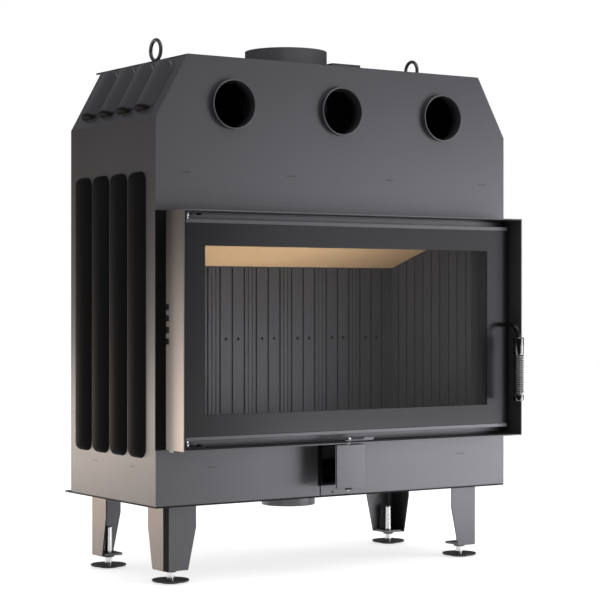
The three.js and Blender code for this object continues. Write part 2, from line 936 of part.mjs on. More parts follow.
const upperBracket = surroundCeiling - seam - bracketThickness;
const lowerBracket = surroundFloor + seam;
const upperPin = pinHole(
  barTop - pinDepth,
  upperBracket + bracketThickness,
  pinDiameter,
);
const lowerPin = pinHole(lowerBracket, barBottom + pinDepth, pinDiameter);
add('hinge_bracket_top', bracket(upperBracket), zincSteel);
add('hinge_bracket_bottom', bracket(lowerBracket), zincSteel);
add('hinge_pin_top', upperPin, chrome);
add('hinge_pin_bottom', lowerPin, chrome);

// ---- Handle and latch -------------------------------------------------------------------

const gripFront = doorFace + gripReach;
const gripTop = handleHeight - bendRadius;
const gripFoot = gripTop - gripLength;
const coilTop = gripTop - upperFerrule;
const coilFoot = gripFoot + lowerFerrule;
const camBack = -flangeDepth - 1.5;
const camFront = camBack - camThickness;

// Shaft and bend: level through the door, then down into the grip.
function handleArm() {
  const route = new THREE.CurvePath();
  const start = new THREE.Vector3(handleSide, camBack, handleHeight);
  const bendStart = new THREE.Vector3(handleSide, -gripFront + bendRadius, handleHeight);
  const corner = new THREE.Vector3(handleSide, -gripFront, handleHeight);
  const steps = 8;
  const points = [start];
  for (let i = 0; i <= steps; i += 1) {
    const angle = i / steps * Math.PI / 2;
    points.push(bendStart.clone().add(new THREE.Vector3(
      0,
      -bendRadius * Math.sin(angle),
      -bendRadius * (1 - Math.cos(angle)),
    )));
  }
  points.push(corner.setZ(gripTop - 2));
  points.slice(1).forEach((end, i) => route.add(new THREE.LineCurve3(points[i], end)));
  const section = circle(0, 0, armDiameter / 2);
  return new THREE.ExtrudeGeometry(section, { steps: 28, curveSegments: 6, extrudePath: route });
}

// The grip is a turned rod with a ferrule at each end; the arm ends in the upper one.
function gripCore() {
  const outer = gripDiameter / 2;
  const core = outer - wireDiameter - coreClearance;
  const edge = 1.5;
  const socket = armDiameter / 2 + running;
  const socketDepth = 6;
  return turned([
    [0, gripFoot],
    [outer - edge, gripFoot],
    [outer, gripFoot + edge],
    [outer, coilFoot],
    [core, coilFoot],
    [core, coilTop],
    [outer, coilTop],
    [outer, gripTop - edge],
    [outer - edge, gripTop],
    [socket, gripTop],
    [socket, gripTop - socketDepth],
    [0, gripTop - socketDepth],
  ], 24).translate(handleSide, -gripFront, 0);
}

// The spring grip is one wire, wound round the core between the ferrules. Each end runs
// straight for a wire diameter, square to the face of its ferrule.
const coilRadius = gripDiameter / 2 - wireDiameter / 2;
const stub = wireDiameter + seam;
const woundLength = coilTop - coilFoot - 2 * stub;
const turns = Math.floor(woundLength / coilPitch);
const stepsPerTurn = 8;

function springPoints(perTurn) {
  const points = [];
  const lead = woundLength / turns;
  const at = (turn, z) => new THREE.Vector3(
    handleSide + coilRadius * Math.cos(turn * Math.PI * 2),
    -gripFront + coilRadius * Math.sin(turn * Math.PI * 2),
    z,
  );
  points.push(at(0, coilFoot + seam));
  for (let i = 0; i <= turns * perTurn; i += 1) {
    const turn = i / perTurn;
    points.push(at(turn, coilFoot + stub + turn * lead));
  }
  points.push(at(turns, coilTop - seam));
  return points;
}

// Least distance between two stretches of the wire, less its diameter.
function springGap() {
  const perTurn = 24;
  const points = springPoints(perTurn);
  let least = Infinity;
  for (let i = 0; i < points.length; i += 1) {
    for (let j = i + perTurn / 2; j < points.length; j += 1) {
      least = Math.min(least, points[i].distanceTo(points[j]));
    }
  }
  return least - wireDiameter;
}

function springGrip() {
  const wire = new THREE.CatmullRomCurve3(springPoints(stepsPerTurn), false, 'centripetal');
  wire.arcLengthDivisions = turns * 64;
  const sides = Array.from({ length: 5 }, (_, i) => [
    wireDiameter / 2 * Math.cos(i / 5 * Math.PI * 2),
    wireDiameter / 2 * Math.sin(i / 5 * Math.PI * 2),
  ]);
  const steps = turns * stepsPerTurn;
  return new THREE.ExtrudeGeometry(outline(sides), { steps, extrudePath: wire });
}

console.log(`spring grip: ${turns} turns, least gap ${springGap().toFixed(2)} mm`);

function latchCam() {
  const bore = armDiameter / 2 + seam;
  const hub = camHubDiameter / 2;
  const lean = Math.asin(camFinger / 2 / hub);
  const face = new THREE.Shape();
  face.absarc(handleSide, handleHeight, hub, lean, Math.PI * 2 - lean);
  face.lineTo(handleSide + camReach, handleHeight - camFinger / 2);
  face.lineTo(handleSide + camReach, handleHeight + camFinger / 2);
  return upright(
    withHoles(face, circle(handleSide, handleHeight, bore)),
    camFront,
    camThickness,
    smallSides,
  );
}

const keeperBack = camFront - 0.8;
const keeperRight = surroundRight - surroundSheet - seam;
const keeper = block(
  keeperRight - keeperThickness,
  keeperRight,
  keeperBack - keeperDepth,
  keeperBack,
  handleHeight - keeperHeight / 2,
  handleHeight + keeperHeight / 2,
);
add('handle_arm', handleArm(), casingPaint);
add('grip_core', gripCore(), chrome);
add('grip_spring', springGrip(), chrome);
add('latch_cam', latchCam(), zincSteel);
add('latch_keeper', keeper, zincSteel);

// ---- Air control ------------------------------------------------------------------------

// Cover: one sheet bent round the right side, on a plate that lies on the front panel.
function airBox() {
  const inner = airBoxSheet;
  const plan = new THREE.Shape();
  plan.moveTo(-airBoxLeft, -airBoxDepth);
  plan.absarc(airBoxRight - airBoxBend, -airBoxDepth + airBoxBend, airBoxBend, -Math.PI / 2, 0);
  plan.lineTo(airBoxRight, -seam);
  plan.lineTo(airBoxRight - inner, -seam);
  plan.absarc(
    airBoxRight - airBoxBend,
    -airBoxDepth + airBoxBend,
    airBoxBend - inner,
    0,
    -Math.PI / 2,
    true,
  );
  plan.lineTo(-airBoxLeft, -airBoxDepth + inner);
  const backing = withHoles(
    rectangle(-tongueLeft, tongueBottom, airBoxRight, airBoxTop),
    roundedRectangle(-inletLeft, inletBottom, inletRight, inletTop, inletCorner),
  );
  return join(
    solid(flat(plan, airBoxBottom, airBoxTop - airBoxBottom, 4)),
    upright(backing, -seam - airBoxSheet, airBoxSheet, 4),
  );
}

function spindle() {
  const radius = spindleDiameter / 2;
  const cap = spindleCap / 2;
  const seat = leverHeight + leverThickness + seam;
  return turned([
    [0, spindleFoot],
    [radius, spindleFoot],
    [radius, seat],
    [cap, seat],
    [cap, spindleTop - 1],
    [cap - 1, spindleTop],
    [0, spindleTop],
  ], smallSides).translate(-controlSide, -controlFront, 0);
}

// Flat bar on the spindle, with its end bent up for the fingers.
function airLever() {
  const half = leverWidth / 2;
  const left = -controlSide - leverTail;
  const right = -controlSide + leverReach;
  const bar = withHoles(
    rectangle(left, -controlFront - half, right, -controlFront + half),
    circle(-controlSide, -controlFront, spindleDiameter / 2 + seam),
  );
  return join(
    solid(flat(bar, leverHeight, leverThickness, smallSides / 2)),
    block(
      right - tabLength,
      right,
      -controlFront - half,
      -controlFront - half + leverThickness,
      leverHeight,
      leverHeight + tabHeight,
    ),
  );
}

// Flap on the spindle, inside the cover. A sleeve at its edge holds it.
function airDamper() {
  const sleeve = spindleDiameter + 2 * seam + 2 * sleeveWall;
  const bottom = damperFoot;
  const top = damperFoot + damperHeight;
  const body = join(
    solid(upRod(-controlSide, -controlFront, bottom, top, sleeve)),
    block(
      -controlSide - damperReach,
      -controlSide,
      -controlFront - damperThickness / 2,
      -controlFront + damperThickness / 2,
      bottom,
      top,
    ),
  );
  const bore = upRod(
    -controlSide,
    -controlFront,
    bottom - 1,
    top + 1,
    spindleDiameter + 2 * seam,
  );
  return cut(body, bore);
}

add('air_box', airBox(), casingPaint);
add('air_spindle', spindle(), chrome);
add('air_lever', airLever(), casingPaint);
add('air_damper', airDamper(), rawSteel);

// ---- Legs and feet ----------------------------------------------------------------------

const legSide = halfWidth - legInset;
const legRear = casingDepth - legRearInset;
const legTop = -seam;
const soleBottom = -legHeight;
const soleTop = soleBottom + soleThickness;

// A leg in its own corner: outer faces on x = 0 and y = 0, flanges towards +x and +y.
function legForm() {
  const c = legChamfer;
  const t = legSheet;
  const k = t * Math.tan(Math.PI / 8);
  const angle = outline([
    [c, 0],
    [legWidth, 0],
    [legWidth, t],
    [c + k, t],
    [t, c + k],
    [t, legWidth],
    [0, legWidth],
    [0, c],
  ]);
  const sole = outline([[c, 0], [soleSize, 0], [soleSize, soleSize], [0, soleSize], [0, c]]);
  const wedge = outline([
    [legWidth + 1, -taperStart],
    [legWidth, -taperStart],
    [legWidth - legTaper, soleBottom - 1],
    [legWidth + 1, soleBottom - 1],
  ]);
  const nutCorner = nutWidth / Math.cos(Math.PI / 6);
  const tapered = cut(
    solid(flat(angle, soleBottom, legTop - soleBottom)),
    upright(wedge, -1, t + 2),
    profile(wedge, -1, t + 2),
  );
  const footed = join(
    tapered,
    flat(sole, soleBottom, soleThickness),
    upRod(footInset, footInset, soleBottom - nutHeight, soleBottom + 1, nutCorner, 6),
  );
  const boreTop = soleTop + 1;
  const boreFoot = soleBottom - nutHeight - 1;
  return cut(footed, upRod(footInset, footInset, boreFoot, boreTop, rodDiameter + 2 * running, 16));
}

const rimTop = -standHeight + bossHeight + padEdge;

function footForm() {
  const rod = rodDiameter / 2;
  const pad = padDiameter / 2;
  const hubTop = rimTop + 4;
  return turned([
    [0, -standHeight],
    [bossDiameter / 2, -standHeight],
    [bossDiameter / 2 + 2, -standHeight + bossHeight - 2],
    [pad, -standHeight + bossHeight],
    [pad, rimTop],
    [padHub / 2, hubTop],
    [rod, hubTop],
    [rod, -rodTop - 1.5],
    [rod - 1.5, -rodTop],
    [0, -rodTop],
  ], 24).translate(footInset, footInset, 0);
}

[['front', legFront, 1], ['rear', legRear, -1]].forEach(([row, outer, inwards]) => {
  [['left', -1], ['right', 1]].forEach(([hand, side]) => {
    const place = new THREE.Matrix4()
      .makeScale(-side, inwards, 1)
      .setPosition(side * legSide, outer, 0);
    add(`leg_${row}_${hand}`, closed(fromSolid(legForm()).applyMatrix4(place)), casingPaint);
    add(`foot_${row}_${hand}`, footForm().applyMatrix4(place), zincSteel);
  });
});

// ---- Standing on the floor --------------------------------------------------------------

// The origin is on the floor, under the middle of the space that the insert takes.
const frontReach = gripFront + gripDiameter / 2;
const backReach = casingDepth + Math.max(topOverhang, bottomOverhang);
insert.position.set(0, (frontReach - backReach) / 2, standHeight);

const model = new THREE.Group();
model.add(insert);

export default model;
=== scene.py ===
import json
import math

import bmesh
import bpy
from mathutils import Matrix, Vector


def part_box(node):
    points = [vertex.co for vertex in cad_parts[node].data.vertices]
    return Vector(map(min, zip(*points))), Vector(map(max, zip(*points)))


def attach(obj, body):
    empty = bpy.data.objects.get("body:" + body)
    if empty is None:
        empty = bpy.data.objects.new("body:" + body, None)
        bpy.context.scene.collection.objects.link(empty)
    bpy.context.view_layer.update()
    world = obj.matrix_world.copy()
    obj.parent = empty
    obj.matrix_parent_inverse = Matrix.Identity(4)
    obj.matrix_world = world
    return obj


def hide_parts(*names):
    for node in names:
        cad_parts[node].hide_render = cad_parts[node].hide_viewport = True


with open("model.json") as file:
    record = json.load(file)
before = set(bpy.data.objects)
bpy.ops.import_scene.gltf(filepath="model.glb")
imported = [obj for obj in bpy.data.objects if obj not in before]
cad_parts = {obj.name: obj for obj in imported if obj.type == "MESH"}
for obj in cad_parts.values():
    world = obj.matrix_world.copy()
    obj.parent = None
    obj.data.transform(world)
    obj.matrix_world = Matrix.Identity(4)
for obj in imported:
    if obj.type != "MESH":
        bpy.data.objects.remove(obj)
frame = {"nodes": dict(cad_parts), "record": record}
nodes = frame["nodes"]
scene = bpy.context.scene
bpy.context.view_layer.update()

# ---- Viewpoint ------------------------------------------------------------------------
# The insert is seen from the front and a little from its left, level, from about five
# metres away, as a fitter would see it on a showroom floor.
camera = bpy.data.objects.new("camera", bpy.data.cameras.new("camera"))
scene.collection.objects.link(camera)
scene.camera = camera
camera.location = (-2.6625, -4.0305, 0.672)
camera.rotation_euler = (math.radians(90), 0, math.radians(-33.413))
camera.data.sensor_width = 36
camera.data.lens = 113.352
camera.data.shift_y = 0.00207
scene.view_settings.view_transform = "Standard"

# ---- Studio ---------------------------------------------------------------------------
# A white cove with soft panels. The pale floor keeps a faint shadow of the insert. The
# cove is white where it is seen, and dark with bright zones where polished metal shows it.


class Wire:
    """A value in a material or the world. Sums and products of wires add their own nodes."""

    def __init__(self, tree, socket=None):
        self.tree = tree
        self.socket = socket

    def node(self, kind, settings, sockets, outlet=0):
        """Adds any node: settings first, then the values or wires of its sockets."""
        made = self.tree.nodes.new(kind)
        for name, value in settings.items():
            setattr(made, name, value)
        for name, value in sockets.items():
            if isinstance(value, Wire):
                self.tree.links.new(value.socket, made.inputs[name])
            else:
                made.inputs[name].default_value = value
        return Wire(self.tree, made.outputs[outlet]) if made.outputs else None

    def maths(self, operation, *values):
        return self.node("ShaderNodeMath", {"operation": operation}, dict(enumerate(values)))

    def __add__(self, other):
        return self.maths("ADD", self, other)

    def __radd__(self, other):
        return self.maths("ADD", other, self)

    def __sub__(self, other):
        return self.maths("SUBTRACT", self, other)

    def __rsub__(self, other):
        return self.maths("SUBTRACT", other, self)

    def __mul__(self, other):
        return self.maths("MULTIPLY", self, other)

    def __rmul__(self, other):
        return self.maths("MULTIPLY", other, self)

    def __truediv__(self, other):
        return self.maths("DIVIDE", self, other)

    def __rtruediv__(self, other):
        return self.maths("DIVIDE", other, self)

    def __abs__(self):
        return self.maths("ABSOLUTE", self)

    def __lt__(self, other):
        return self.maths("LESS_THAN", self, other)

    def __gt__(self, other):
        return self.maths("GREATER_THAN", self, other)

    def over(self, other):
        """The greater of two values."""
        return self.maths("MAXIMUM", self, other)

    def under(self, other):
        """The lesser of two values."""
        return self.maths("MINIMUM", self, other)

    def eased(self, low, high):
        """0 below low and 1 above high, with a soft passage between them."""
        settings = {"interpolation_type": "SMOOTHSTEP"}
        return self.node("ShaderNodeMapRange", settings, {0: self, 1: low, 2: high})

    def axis(self, letter):
        return self.node("ShaderNodeSeparateXYZ", {}, {0: self}, "XYZ".index(letter))

    def mixed(self, first, second):
        """One colour turning into another as this value goes from 0 to 1."""
        settings = {"data_type": "RGBA"}
        return self.node("ShaderNodeMix", settings, {0: self, 6: first, 7: second}, 2)

    def coated(self, first, second):
        """One surface giving way to another as this value goes from 0 to 1."""
        return self.node("ShaderNodeMixShader", {}, {0: self, 1: first, 2: second})

    def noise(self, scale, detail=2.0, roughness=0.5, stretch=(1, 1, 1)):
        """Cloudy grain from 0 to 1 at this place, drawn out along an axis by stretch."""
        place = self.node(
            "ShaderNodeVectorMath", {"operation": "MULTIPLY"}, {0: self, 1: stretch})
        sockets = {"Vector": place, "Scale": scale, "Detail": detail, "Roughness": roughness}
        return self.node("ShaderNodeTexNoise", {}, sockets)

    def relief(self, strength, distance):
        """The normal of a surface whose height is this value."""
        sockets = {"Strength": strength, "Distance": distance, "Height": self}
        return self.node("ShaderNodeBump", {}, sockets)

    def surface(self, sockets):
        return self.node("ShaderNodeBsdfPrincipled", {}, sockets)

    def ray(self, kind):
        """1 for camera, glossy or transmission rays, and 0 for the others."""
        return self.node("ShaderNodeLightPath", {}, {}, f"Is {kind} Ray")


def grey(level):
    return (level, level, level, 1.0)


world = bpy.data.worlds.new("cove")
scene.world = world
world.use_nodes = True
world.node_tree.nodes.clear()
cove = Wire(world.node_tree)
direction = cove.node("ShaderNodeTexCoord", {}, {}, "Generated")
near_floor = 1 - direction.axis("Z").eased(-0.08, 0.06)
overhead = direction.axis("Z").eased(0.12, 0.45)
to_rear = direction.axis("Y").eased(-0.2, 0.3)
to_right = direction.axis("X").eased(0.1, 0.4)
black_cloth, ceiling = grey(0.03), (0.28, 0.28, 0.31, 1)
front_wall, rear_wall = (0.034, 0.034, 0.038, 1), (0.020, 0.015, 0.012, 1)
front_floor, rear_floor = (0.86, 0.86, 0.92, 1), (0.95, 0.86, 0.79, 1)
walls = to_rear.mixed(front_wall, rear_wall)
ground = to_rear.mixed(to_right.mixed(black_cloth, front_floor), rear_floor)
reflected = near_floor.mixed(overhead.mixed(walls, ceiling), ground)
polish, soft, white = (
    cove.node("ShaderNodeBackground", {}, {"Color": colour, "Strength": 1.0})
    for colour in (reflected, grey(0.52), grey(1.0))
)
lit = cove.ray("Glossy").coated(soft, polish)
seen = cove.ray("Camera").over(cove.ray("Transmission")).coated(lit, white)
cove.node("ShaderNodeOutputWorld", {}, {"Surface": seen})


def panel(name, place, aim, width, height, power, colour):
    """A soft panel light that faces the point it is aimed at."""
    light = bpy.data.lights.new(name, "AREA")
    light.shape = "RECTANGLE"
    light.size = width
    light.size_y = height
    light.energy = power
    light.color = colour
    lamp = bpy.data.objects.new(name, light)
    lamp.location = place
    forward = Vector(aim) - Vector(place)
    lamp.rotation_euler = forward.to_track_quat("-Z", "Y").to_euler()
    lamp.visible_camera = False
    scene.collection.objects.link(lamp)
    return lamp


panel("low_warm_panel", (-2.0, 2.6, 0.1), (-0.6, 0.0, 0.3), 2.4, 0.42, 26, (1.0, 0.82, 0.69))
panel("front_panel_light", (2.3, -2.5, 0.6), (0.0, -0.2, 0.6), 2.2, 1.6, 26, (0.95, 0.95, 1.0))
panel("right_strip", (2.27, -1.57, 0.55), (0.48, -0.28, 0.55), 0.2, 1.0, 9, (0.96, 0.96, 1.0))
panel("right_low_panel", (1.34, -1.5, 0.09), (0.2, -0.2, 0.2), 1.4, 0.16, 5.8, (0.94, 0.94, 1.0))
panel("overhead_panel", (0.6, -1.2, 3.4), (0.0, 0.0, 0.4), 2.6, 2.6, 36, (1.0, 1.0, 1.0))
panel("camera_side_panel", (-2.6, -5.2, 2.4), (0.0, 0.0, 0.9), 3.0, 1.6, 11, (1.0, 1.0, 1.0))

floor_mesh = bmesh.new()
bmesh.ops.create_circle(floor_mesh, cap_ends=True, segments=96, radius=14)
floor_data = bpy.data.meshes.new("floor")
floor_mesh.to_mesh(floor_data)
floor_mesh.free()
floor = bpy.data.objects.new("floor", floor_data)
scene.collection.objects.link(floor)


def finish(name, surface_of):
    """A material whose surface is made by a function of the place on the piece."""
    material = bpy.data.materials.new(name)
    material.use_nodes = True
    material.node_tree.nodes.clear()
    start = Wire(material.node_tree)
    place = start.node("ShaderNodeTexCoord", {}, {}, "Object")
    start.node("ShaderNodeOutputMaterial", {}, {"Surface": surface_of(place)})
    return material


def pale_floor(place):
    """Matt and pale, with a glow of its own that lifts it to the white of the cove. A black
    cloth lies in front, on the left, for reflections only."""
    glossy = place.ray("Glossy")
    left = 1 - place.axis("X").eased(0.2, 1.2)
    front = 1 - place.axis("Y").eased(-1.6, -0.9)
    cloth = glossy * (left * front)
    pale = place.noise(0.8).mixed(grey(0.79), grey(0.81))
    matt = place.node("ShaderNodeBsdfDiffuse", {}, {"Color": cloth.mixed(pale, grey(0.05))})
    looked_at = place.ray("Camera").over(glossy).over(place.ray("Transmission"))
    glow_level = 0.70
    glow = place.node("ShaderNodeEmission", {}, {
        "Color": grey(1.0),
        "Strength": (looked_at - cloth) * glow_level,
    })
    return place.node("ShaderNodeAddShader", {}, {0: matt, 1: glow})


floor_data.materials.append(finish("pale_floor", pale_floor))

# ---- Casing ---------------------------------------------------------------------------
# Folded and welded 3 mm steel sheet between a 4 mm top plate and bottom plate, sprayed
# with a dark grey heat-proof paint. Short weld marks show where inner brackets are fixed.

sharp_fold = math.radians(38)
weld_length, weld_width = 0.028, 0.004


def painted(place, welds=(), colour=0.085, rough=0.36):
    """Satin paint: a fine spray texture over slow changes of tone. Each weld mark is given
    by its two axes and its place on them."""
    cloud = place.noise(3.5, 3.0)
    spray = place.noise(900.0, 1.0)
    tone = cloud.mixed(
        (colour * 0.92, colour * 0.92, colour * 0.98, 1),
        (colour * 1.08, colour * 1.08, colour * 1.15, 1),
    )
    height = spray
    for axes, across, up in welds:
        reach = abs(place.axis(axes[0]) - across) / (weld_length / 2)
        reach = reach.over(abs(place.axis(axes[1]) - up) / (weld_width / 2))
        mark = 1 - reach.eased(0.75, 1.0)
        tone = (mark * 0.6).mixed(tone, grey(colour * 0.35))
        height = height + mark * 6
    return place.surface({
        "Base Color": tone,
        "Metallic": 0.55,
        "Roughness": cloud * 0.06 + spray * 0.05 + (rough - 0.05),
        "Normal": height.relief(0.25, 0.00012),
    })


def shade_black(place, low, high, sheen, rough=0.5, patch=30.0, detail=2.0):
    """A black coat between two levels of grey, with hardly any sheen, used as painted shade and
    painted dark reflection.
    """
    return place.surface({
        "Base Color": place.noise(patch, detail).mixed(grey(low), grey(high)),
        "Roughness": place.noise(700.0) * 0.1 + rough,
        "Specular IOR Level": sheen,
    })


def dress(material, *names):
    """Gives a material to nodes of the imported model."""
    for name in names:
        for slot in nodes[name].material_slots:
            slot.material = material


def piece(name, mesh, body, material, slot, *stands_for, marked=False):
    """Makes a finished shape a piece of the insert that rides on a body. A marked shape
    has its sharp edges already."""
    bmesh.ops.remove_doubles(mesh, verts=mesh.verts, dist=1e-6)
    bmesh.ops.recalc_face_normals(mesh, faces=mesh.faces)
    data = bpy.data.meshes.new(name)
    mesh.to_mesh(data)
    mesh.free()
    data.shade_smooth()
    if not marked:
        data.set_sharp_from_angle(angle=sharp_fold)
    data.materials.append(material)
    made = bpy.data.objects.new(name, data)
    scene.collection.objects.link(made)
    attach(made, body)
    if stands_for:
        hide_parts(*stands_for)


def mark_sharp(mesh, alike):
    """Keeps an edge smooth if its fold is gentle and its faces are alike, all or none."""
    for edge in mesh.edges:
        kinds = [alike(face) for face in edge.link_faces]
        gentle = edge.is_manifold and edge.calc_face_angle() < sharp_fold
        edge.smooth = gentle and all(kinds) == any(kinds)


body_of = {
    name: body
    for body, names in frame["record"]["behaviour"]["bodies"].items() for name in names
}
slot_of = {row["node"]: row["material_slot"] for row in frame["record"]["subparts"]}


def eased(material, width, *names, settle=None):
    """Replaces nodes by the same shapes with eased edges, as cut and folded sheet has.
    Settle gives two levels and how far what lies between them is moved up."""
    for name in names:
        mesh = bmesh.new()
        mesh.from_mesh(nodes[name].data)
        bmesh.ops.remove_doubles(mesh, verts=mesh.verts, dist=1e-5)
        if settle:
            low, high, shift = settle
            band = [point for point in mesh.verts if low < point.co.z < high]
            bmesh.ops.translate(mesh, verts=band, vec=(0, 0, shift))
        bmesh.ops.dissolve_limit(
            mesh, angle_limit=math.radians(0.5), verts=mesh.verts, edges=mesh.edges)
        folds = [
            edge for edge in mesh.edges
            if edge.is_manifold and edge.calc_face_angle() > math.radians(40)
        ]
        rounds = set(bmesh.ops.bevel(
            mesh, geom=folds, offset=width, segments=2, profile=0.5, affect="EDGES",
            clamp_overlap=True, material=-1,
        )["faces"])
        mark_sharp(mesh, rounds.__contains__)
        for face in mesh.faces:
            face.material_index = 0
        piece(f"{name}_eased", mesh, body_of[name], material, slot_of[name], name, marked=True)


# Middle of the air control's cover on the front, and half the opening that it hides.
cover_x, cover_z = -0.022, 0.2695
cover_half_width, cover_half_height = 0.0455, 0.0520
# The strip of the front to the left of the door surround, painted black as shade.
strip_right, strip_middle, strip_half_height = -0.4945, 0.6045, 0.2800

paint = finish("casing_paint", painted)
front_welds = [("XZ", x, 0.976) for x in (-0.442, -0.146, 0.152, 0.449)]
front_welds += [("XZ", x, 0.278) for x in (-0.368, 0.377)]


def front_finish(place):
    """The casing paint, painted dull black as shade behind the air control and left of the
    surround.
    """
    x = place.axis("X")
    z = place.axis("Z")
    # Painted shade: black behind the air control's cover and on the strip beside the surround.
    shade_behind_cover = (abs(x - cover_x) < cover_half_width) * (abs(z - cover_z) < cover_half_height)
    shade_left_of_surround = (x < strip_right) * (abs(z - strip_middle) < strip_half_height)
    painted_shade = shade_black(place, 0.006, 0.009, 0.06)
    return shade_behind_cover.over(shade_left_of_surround).coated(painted(place, front_welds), painted_shade)


def bottom_finish(place):
    """The casing paint, with a painted shadow: dull black along the edge that stands out below
    the casing.
    """
    # Painted shadow along the edge of the plate.
    shaded_edge = 1 - place.axis("Z").eased(0.1923, 0.1928)
    return shaded_edge.coated(painted(place), shade_black(place, 0.010, 0.014, 0.1))


dress(finish("front_paint", front_finish), "front_panel")
dress(paint, "back_panel")
eased(paint, 0.0008, "top_plate", "top_access_cover")
eased(finish("bottom_paint", bottom_finish), 0.0005, "bottom_plate")

# ---- Ribbed sides ---------------------------------------------------------------------
# Each side panel and each shoulder has four long ribs pressed outwards. The ribs of the
# sides are painted black: a painted dark reflection, and painted shade a little past each
# rib. Those of the shoulders are painted black at their lower ends only, as painted shade.

sheet = 0.003
rib_count, rib_first, rib_pitch = 4, -0.0865, 0.092
rib_width, rib_corner, rib_rise = 0.083, 0.024, 0.017
rib_foot, rib_head, side_ramp = 0.303, 0.977, 0.018
# The shoulder leans inwards from a fold: its run and drop, and its ribs up the slope.
fold_x, fold_z = 0.522, 1.101
run, drop = 0.086, 0.154
slope = math.hypot(run, drop)
shoulder_rib_length, shoulder_rib_middle, shoulder_ramp = 0.140, 0.094, 0.0045


# Painted dark reflection and painted shade on the ribs.
def painted_rib_shade(place):
    return shade_black(place, 0.008, 0.011, 0.03, patch=6.0, detail=3.0)


def ribbed_side(place):
    """The casing paint, with a dull black coat over each rib and about a millimetre past its
    outline, as painted dark reflection and painted shade.
    """
    y = place.axis("Y")
    z = place.axis("Z")
    rib = place.maths("ROUND", (y - rib_first) / rib_pitch).under(rib_count - 1).over(0)
    across = abs(y - rib * rib_pitch - rib_first)
    along = abs(z - (rib_foot + rib_head) / 2)
    past_side = (across - (rib_width / 2 - rib_corner)).over(0)
    past_end = (along - ((rib_head - rib_foot) / 2 - rib_corner)).over(0)
    distance = place.maths("SQRT", past_side * past_side + past_end * past_end) - rib_corner
    painted_shade = 1 - distance.eased(0.0004, 0.0016)
    welds = [("YZ", -0.059, 0.280), ("YZ", 0.131, 0.280)]
    return painted_shade.coated(painted(place, welds), painted_rib_shade(place))


def ribbed_shoulder(place):
    """The casing paint, with a dull black coat at the lower end of each rib, as painted shade.
    """
    out = abs(place.axis("X")) - fold_x
    up = place.axis("Z") - fold_z
    along = (up * drop - out * run) / slope
    above = (out * drop + up * run) / slope
    end = (1 - along.eased(0.030, 0.038)) * above.eased(0.0004, 0.0010)
    return end.coated(painted(place), painted_rib_shade(place))


def moved(mesh, step):
    bmesh.ops.translate(mesh, verts=mesh.verts, vec=step)


def joined(mesh, other):
    """Adds a second shape to the first, and frees the second."""
    loose = bpy.data.meshes.new("loose")
    other.to_mesh(loose)
    other.free()
    mesh.from_mesh(loose)
    bpy.data.meshes.remove(loose)


def rib_form(length, ramp):
    """One rib, lying along Y with its dome towards +Z and its root just below the sheet.
    Each end of the dome falls over the length of the ramp."""
    mesh = bmesh.new()
    columns, steps_in_end = 22, 10
    rows = 2 * steps_in_end + 1
    half = rib_width / 2
    arc = (half ** 2 + rib_rise ** 2) / (2 * rib_rise)
    bmesh.ops.create_grid(mesh, x_segments=columns, y_segments=rows, size=1)
    for point in mesh.verts:
        x = half * math.sin(point.co.x * math.pi / 2)
        row = round((point.co.y + 1) / 2 * rows)
        climb = min(row, rows - row) / steps_in_end * math.pi / 2
        beyond = max(abs(x) - (half - rib_corner), 0)
        round_end = rib_corner - math.sqrt(rib_corner ** 2 - beyond ** 2)
        inset = round_end + ramp * (1 - math.cos(climb))
        dome = math.sqrt(arc ** 2 - x ** 2) - (arc - rib_rise)
        y = math.copysign(length / 2 - inset, point.co.y)
        point.co = (x, y, max(dome, 0) * math.sin(climb))
    root = bmesh.ops.extrude_face_region(mesh, geom=mesh.faces[:])
    for point in root["geom"]:
        if isinstance(point, bmesh.types.BMVert):
            point.co.z = -0.002
    return mesh


def pressed(name, plate, length, ramp, up, out, middle, material):
    """Joins four ribs to a plate. Up is the direction of a rib and out that of its dome."""
    turn = Matrix((up.cross(out), up, out)).transposed().to_4x4()
    ribs = bmesh.new()
    for i in range(rib_count):
        form = rib_form(length, ramp)
        place = Matrix.Translation((middle.x, rib_first + i * rib_pitch, middle.z)) @ turn
        bmesh.ops.transform(form, verts=form.verts, matrix=place)
        joined(ribs, form)
    shapes = []
    for mesh in (plate, ribs):
        bmesh.ops.recalc_face_normals(mesh, faces=mesh.faces)
        data = bpy.data.meshes.new("shape")
        mesh.to_mesh(data)
        mesh.free()
        shapes.append(bpy.data.objects.new("shape", data))
        scene.collection.objects.link(shapes[-1])
    union = shapes[0].modifiers.new("union", "BOOLEAN")
    union.operation = "UNION"
    union.solver = "EXACT"
    union.object = shapes[1]
    whole = bpy.data.meshes.new_from_object(
        shapes[0].evaluated_get(bpy.context.evaluated_depsgraph_get()))
    for shape in shapes:
        bpy.data.objects.remove(shape)
    mesh = bmesh.new()
    mesh.from_mesh(whole)
    bpy.data.meshes.remove(whole)
    mark_sharp(mesh, lambda face: abs(face.normal.dot(out)) > 0.9999)
    piece(f"{name}_pressed", mesh, "casing", material, "casing_paint", name, marked=True)


